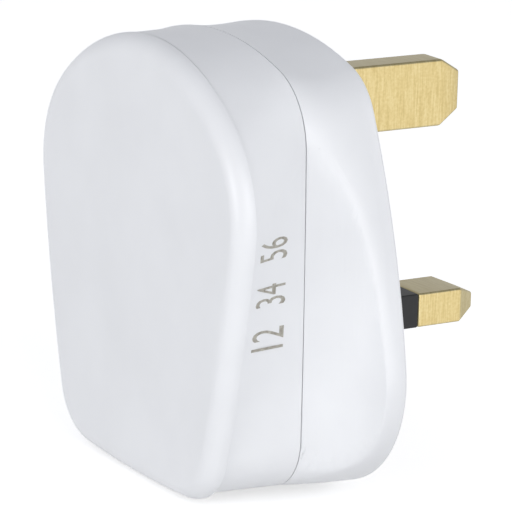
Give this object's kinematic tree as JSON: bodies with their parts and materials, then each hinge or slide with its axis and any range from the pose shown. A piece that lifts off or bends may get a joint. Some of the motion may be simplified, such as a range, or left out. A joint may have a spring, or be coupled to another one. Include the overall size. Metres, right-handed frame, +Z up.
{
  "type": "uk three pin plug",
  "caption": "White rewirable mains plug with a crowned face, finger grips in both sides, brass pins and black pin sleeves, fused, without its cord.",
  "frame": {"origin": "on the pin face, where the centre line of the live and neutral pins crosses the plug's centre line", "axes": "+X to the right seen from the cover, +Y along the pins out of the pin face, +Z up to the earth pin"},
  "size_m": [0.0534, 0.0431, 0.0513],
  "materials": {
    "white_moulding": "white thermoset moulding, slightly glossy",
    "pin_brass": "bright brass with fine sawn and tumbled marks",
    "pin_sleeve": "black moulded insulation",
    "terminal_brass": "turned and milled brass",
    "plated_steel": "zinc-plated screw steel",
    "fuse_ceramic": "unglazed white ceramic",
    "fuse_wire": "drawn copper wire",
    "fuse_cap_plate": "nickel-plated drawn brass",
    "clip_brass": "stamped spring brass",
    "grip_bar_fibre": "moulded nylon bar",
    "washer_fibre": "red vulcanised fibre"
  },
  "bodies": {
    "root": {"cover": "white_moulding", "base": "white_moulding", "earth_pin": "pin_brass", "live_pin": "pin_brass", "neutral_pin": "pin_brass", "live_pin_sleeve": "pin_sleeve", "neutral_pin_sleeve": "pin_sleeve", "live_terminal": "terminal_brass", "earth_terminal_screw": "plated_steel", "live_terminal_screw": "plated_steel", "neutral_terminal_screw": "plated_steel", "fuse_tube": "fuse_ceramic", "fuse_wire": "fuse_wire", "fuse_lower_cap": "fuse_cap_plate", "fuse_upper_cap": "fuse_cap_plate", "lower_fuse_clip": "clip_brass", "upper_fuse_clip": "clip_brass", "lower_clip_rivet": "terminal_brass", "upper_clip_rivet": "terminal_brass", "cord_grip_bar": "grip_bar_fibre", "cord_grip_screw_left": "plated_steel", "cord_grip_screw_right": "plated_steel", "cover_screw": "plated_steel", "cover_screw_washer": "washer_fibre", "cover_screw_insert": "terminal_brass"}
  },
  "joints": []
}
